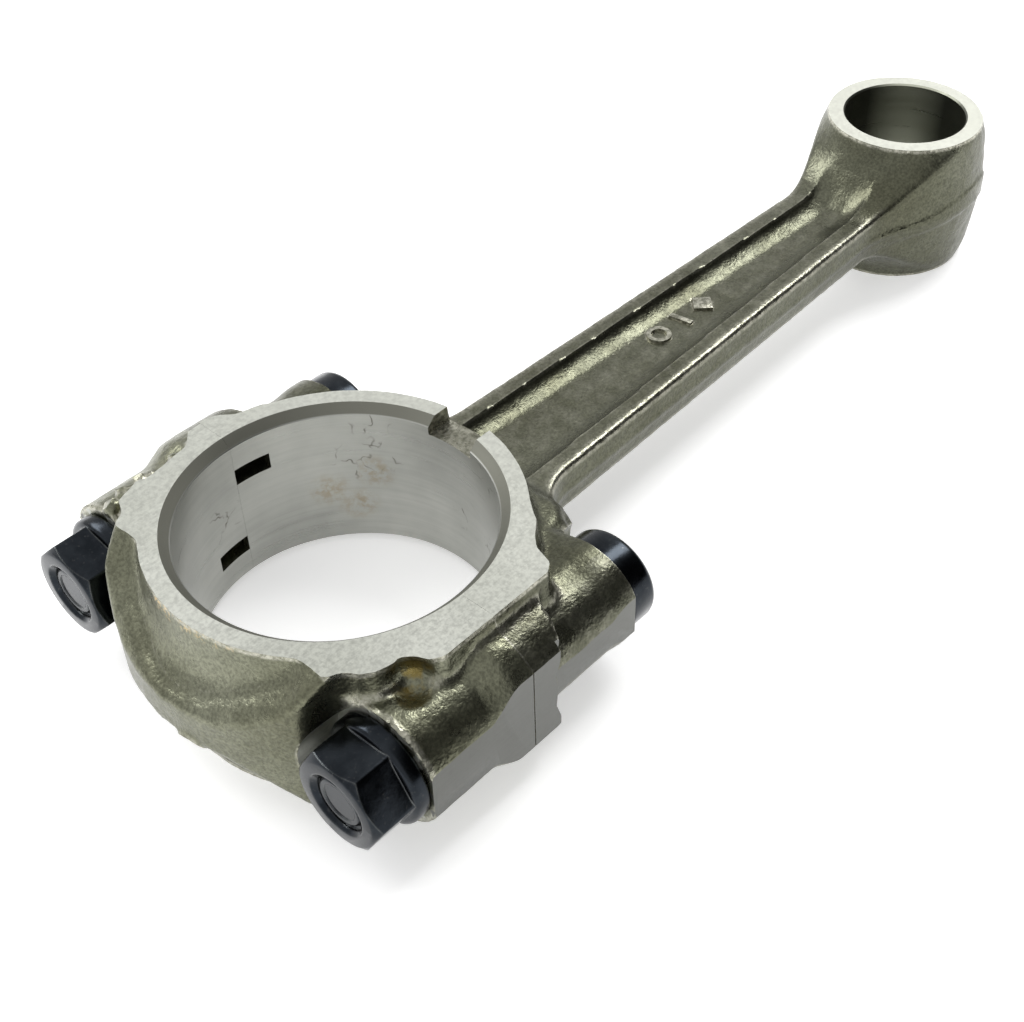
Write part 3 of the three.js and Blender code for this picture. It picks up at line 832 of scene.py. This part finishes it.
def thread_rod(name, side, low, high, root, crest, gap, steps=48):
    """a threaded rod between two planes, cut square at both ends; the screw is right-handed"""
    bm = bmesh.new()
    start = high + 1.5 * PITCH
    section = [(0, root), (0.12 - gap, root), (0.44 - gap, crest), (0.56 + gap, crest), (0.88 + gap, root),
               (1.0, root)]
    verts = [bm.verts.new((start + t * PITCH, side * BOLT_Y + r, 0)) for t, r in section]
    edges = [bm.edges.new(pair) for pair in zip(verts, verts[1:])]
    turns = math.ceil((high - low) / PITCH) + 4
    bmesh.ops.spin(bm, geom=verts + edges, cent=(0, side * BOLT_Y, 0), axis=(-1, 0, 0),
                   dvec=(-PITCH / steps, 0, 0), angle=2 * math.pi * turns, steps=steps * turns)
    bmesh.ops.remove_doubles(bm, verts=bm.verts[:], dist=1e-3)
    for x, direction in ((low, -1), (high, 1)):
        bmesh.ops.bisect_plane(bm, geom=bm.verts[:] + bm.edges[:] + bm.faces[:], plane_co=(x, 0, 0),
                               plane_no=(direction, 0, 0), clear_outer=True)
        rim = [e for e in bm.edges if len(e.link_faces) == 1 and all(abs(v.co.x - x) < 1e-3 for v in e.verts)]
        bmesh.ops.holes_fill(bm, edges=rim, sides=0)
    bmesh.ops.triangulate(bm, faces=[f for f in bm.faces if len(f.verts) > 4])
    bmesh.ops.recalc_face_normals(bm, faces=bm.faces[:])
    return object_of(name, bm)


def make_bolt(name, side):
    y = side * BOLT_Y
    bolt = thread_rod(name, side, BOLT_END, -8.5, 3.87, 4.42, 0.0)
    point = [(0, BOLT_END - 1), (3.55, BOLT_END - 1), (3.55, BOLT_END), (4.6, BOLT_END + 1.05), (4.6, 0),
             (0, 0)]
    combine(bolt, turned("point", point, (0, y, 0), "x"), "INTERSECT")
    recess = [(0, BOLT_END - 1), (3.2, BOLT_END - 1), (2.9, BOLT_END + 0.18), (0, BOLT_END + 0.18)]
    combine(bolt, turned("recess", recess, (0, y, 0), "x"), "DIFFERENCE")
    head = [(0, -9), (3.9, -9), (SHANK_R, -8.4), (SHANK_R, HEAD_SEAT), (7.45, HEAD_SEAT),
            (BOLT_HEAD_R, HEAD_SEAT + 0.25), (BOLT_HEAD_R, HEAD_FACE - 0.9), (7.62, HEAD_FACE - 0.56),
            (7.44, HEAD_FACE - 0.26), (7.14, HEAD_FACE - 0.08), (6.8, HEAD_FACE), (0, HEAD_FACE)]
    return combine(bolt, turned("head", head, (0, y, 0), "x", 96), "UNION")


def make_nut(name, side, turn):
    y = side * BOLT_Y
    bm = bmesh.new()
    corner = HEX_FLATS_R / math.cos(math.pi / 6)
    depth = NUT_SEAT - NUT_FACE - 1
    place = (Matrix.Translation((NUT_FACE + depth / 2, y, 0)) @ Matrix.Rotation(math.radians(turn), 4, "X")
             @ Matrix.Rotation(math.pi / 2, 4, "Y"))
    bmesh.ops.create_cone(bm, cap_ends=True, segments=6, radius1=corner, radius2=corner, depth=depth,
                          matrix=place)
    upright = [e for e in bm.edges if abs(e.verts[0].co.x - e.verts[1].co.x) > depth / 2]
    bmesh.ops.bevel(bm, geom=upright, offset=0.28, offset_type="OFFSET", segments=3, profile=0.5,
                    affect="EDGES", material=-1)
    hexagon = object_of(name, bm)
    envelope = [(0, NUT_FACE), (6.75, NUT_FACE), (6.92, NUT_FACE + 0.06), (7.05, NUT_FACE + 0.2),
                (8.3, NUT_FACE + 1.05), (8.3, NUT_SEAT), (0, NUT_SEAT)]
    combine(hexagon, turned("envelope", envelope, (0, y, 0), "x", 120), "INTERSECT")
    collar_top = NUT_SEAT - 2.7
    collar = [(0, collar_top), (7.55, collar_top), (7.85, collar_top + 0.07), (8.2, collar_top + 0.35),
              (COLLAR_R, collar_top + 0.75), (COLLAR_R, NUT_SEAT - 0.3), (COLLAR_R - 0.3, NUT_SEAT),
              (0, NUT_SEAT)]
    combine(hexagon, turned("collar", collar, (0, y, 0), "x", 120), "UNION")
    combine(hexagon, thread_rod("tap", side, NUT_FACE - 1, NUT_SEAT + 1, 3.96, 4.54, 0.06), "DIFFERENCE")
    mouth = [(0, NUT_FACE - 1), (6.0, NUT_FACE - 1), (5.0, NUT_FACE), (4.0, NUT_FACE + 1.0),
             (0, NUT_FACE + 1.0)]
    combine(hexagon, turned("mouth", mouth, (0, y, 0), "x", 96), "DIFFERENCE")
    foot = [(0, NUT_SEAT + 1), (6.0, NUT_SEAT + 1), (5.0, NUT_SEAT), (4.0, NUT_SEAT - 1.0),
            (0, NUT_SEAT - 1.0)]
    return combine(hexagon, turned("foot", foot, (0, y, 0), "x", 96), "DIFFERENCE")


# ---- the six pieces ----

def shape_marks(ob, field):
    """stores how far each vertex stands on an edge, for the worn edges, or lies in a hollow, for the painted
    shade in hollows
    """
    reach = MARK_REACH
    p, out = positions(ob.data), normals(ob.data)
    edge = np.clip((field(p - out * reach) + reach) / reach, 0, 1)
    painted_hollow_shade = np.clip((reach * 2 - field(p + out * reach * 2)) / (reach * 2), 0, 1)
    for name, value in (("edge", edge), ("painted_hollow_shade", painted_hollow_shade)):
        ob.data.attributes.new(name, "FLOAT", "POINT").data.foreach_set("value", value.astype(np.float32))


def finish_piece(ob, name, body, node, materials, sharp=34):
    ob.name = name
    ob.data.name = name
    ob.data.transform(to_row_frame)
    finish = np.empty(len(ob.data.polygons), np.int32)
    ob.data.polygons.foreach_get("material_index", finish)
    ob.data.materials.clear()
    for material in materials:
        ob.data.materials.append(material)
    ob.data.polygons.foreach_set("material_index", np.minimum(finish, len(materials) - 1))
    ob.data.shade_smooth()
    ob.data.set_sharp_from_angle(angle=math.radians(sharp))
    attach(ob, body)
    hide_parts(node)


def rod_solid(p):
    x, y, z = p.T
    solid = np.maximum(rod_blank(p), np.abs(z) - HALF)
    solid = np.maximum(solid, BIG_R - np.hypot(x, y))
    return np.maximum(solid, SMALL_R - np.hypot(x - CENTRES, y))


def cap_solid(p):
    x, y, z = p.T
    solid = np.maximum(cap_blank(p), np.abs(z) - HALF)
    solid = np.maximum(solid, BIG_R - np.hypot(x, y))
    seat = np.maximum(x - NUT_SEAT, np.hypot(np.abs(y) - BOLT_Y, z) - SPOTFACE_R)
    return np.maximum(solid, -seat)


machined, bored = machined_steel("machined_steel"), bored_steel("bored_steel")
oxide_bolts, oxide_nuts = black_oxide("black_oxide_bolts"), black_oxide("black_oxide_nuts")

rod = make_rod()
shape_marks(rod, rod_solid)
# painted light and shade: the rod's copy of the forged steel is painted darker and the cap's copy lighter
forged_rod = forged_steel("forged_rod", 0.90)
finish_piece(rod, "rod", "rod", "rod_forging", [forged_rod, machined, bored])

cap = make_cap()
shape_marks(cap, cap_solid)
forged_cap = forged_steel("forged_cap", 1.38)
finish_piece(cap, "cap", "cap", "bearing_cap", [forged_cap, machined, bored])

for side, word, turn in ((1, "left", 14.5), (-1, "right", -1.5)):
    bolt = make_bolt("bolt_" + word + "_piece", side)
    finish_piece(bolt, "rod_bolt_" + word, "rod", "bolt_" + word, [oxide_bolts], 30)
    nut = make_nut("nut_" + word + "_piece", side, turn)
    nut_node = "nut_" + word
    finish_piece(nut, "collar_nut_" + word, nut_node, nut_node, [oxide_nuts], 30)


# ---- floor, lights, camera and sky ----

def make_floor():
    """a plain pale floor that glows a little, so that it stays white under soft light"""
    bm = bmesh.new()
    bmesh.ops.create_grid(bm, x_segments=2, y_segments=2, size=6)
    floor = object_of("floor", bm)
    m = Nodes("floor_white")
    colour = m.ramp(m.noise(3, 2), (0.3, (0.86, 0.86, 0.86)), (0.7, (0.88, 0.88, 0.88)))
    m.set(colour=colour, rough=0.7, metal=0.0)
    m.shader.inputs["Emission Color"].default_value = (1, 1, 1, 1)
    m.shader.inputs["Emission Strength"].default_value = 0.48
    floor.data.materials.append(m.material)


def add_light(name, place, size, power):
    """a soft rectangular lamp that faces the middle of the floor"""
    light = bpy.data.lights.new(name, "AREA")
    light.shape = "RECTANGLE"
    light.size, light.size_y = size
    light.energy = power
    ob = bpy.data.objects.new(name, light)
    bpy.context.scene.collection.objects.link(ob)
    ob.location = place
    ob.rotation_euler = (-Vector(place)).to_track_quat("-Z", "Y").to_euler()


def add_camera():
    """turn is the camera's rotation vector; shift is counted in centre distances"""
    turn = Vector((2.142762, -0.959255, 0.381701))
    shift = Vector((-0.162272, 0.137604, 1.579969)) * CENTRES
    rotation = Matrix.Rotation(turn.length, 3, turn.normalized())
    position = -(rotation.transposed() @ shift)
    data = bpy.data.cameras.new("camera")
    data.sensor_width = 36
    data.sensor_fit = "HORIZONTAL"
    data.lens = 53.962
    data.clip_start = 0.01
    camera = bpy.data.objects.new("camera", data)
    bpy.context.scene.collection.objects.link(camera)
    look = rotation.transposed() @ Matrix.Diagonal((1, -1, -1))
    place = Vector((position.x + big_end[0], position.y, position.z)) * MM
    camera.matrix_world = Matrix.Translation(place) @ look.to_4x4()
    bpy.context.scene.camera = camera


def make_sky():
    """an even white sky with one soft dark patch that the steel mirrors"""
    world = bpy.data.worlds.new("studio")
    world.use_nodes = True
    tree = world.node_tree
    direction = tree.nodes.new("ShaderNodeTexCoord").outputs["Object"]
    toward = tree.nodes.new("ShaderNodeVectorMath")
    toward.operation = "DOT_PRODUCT"
    toward.inputs[1].default_value = Vector((0.585, -0.75, 0.31)).normalized()
    unit = tree.nodes.new("ShaderNodeVectorMath")
    unit.operation = "NORMALIZE"
    tree.links.new(direction, unit.inputs[0])
    tree.links.new(unit.outputs["Vector"], toward.inputs[0])
    shade = tree.nodes.new("ShaderNodeMapRange")
    shade.interpolation_type = "SMOOTHSTEP"
    for key, value in (("From Min", 0.35), ("From Max", 0.90), ("To Min", 0.85), ("To Max", 0.03)):
        shade.inputs[key].default_value = value
    tree.links.new(toward.outputs["Value"], shade.inputs["Value"])
    tree.links.new(shade.outputs["Result"], tree.nodes["Background"].inputs["Strength"])
    tree.nodes["Background"].inputs["Color"].default_value = (1, 1, 1, 1)
    bpy.context.scene.world = world


make_floor()
add_light("key", (-0.25, 0.9, 0.8), (0.7, 0.5), 7)
add_light("panel", (0.72, -0.02, 0.94), (0.36, 0.5), 6)
add_camera()
make_sky()
bpy.context.scene.view_settings.view_transform = "Standard"
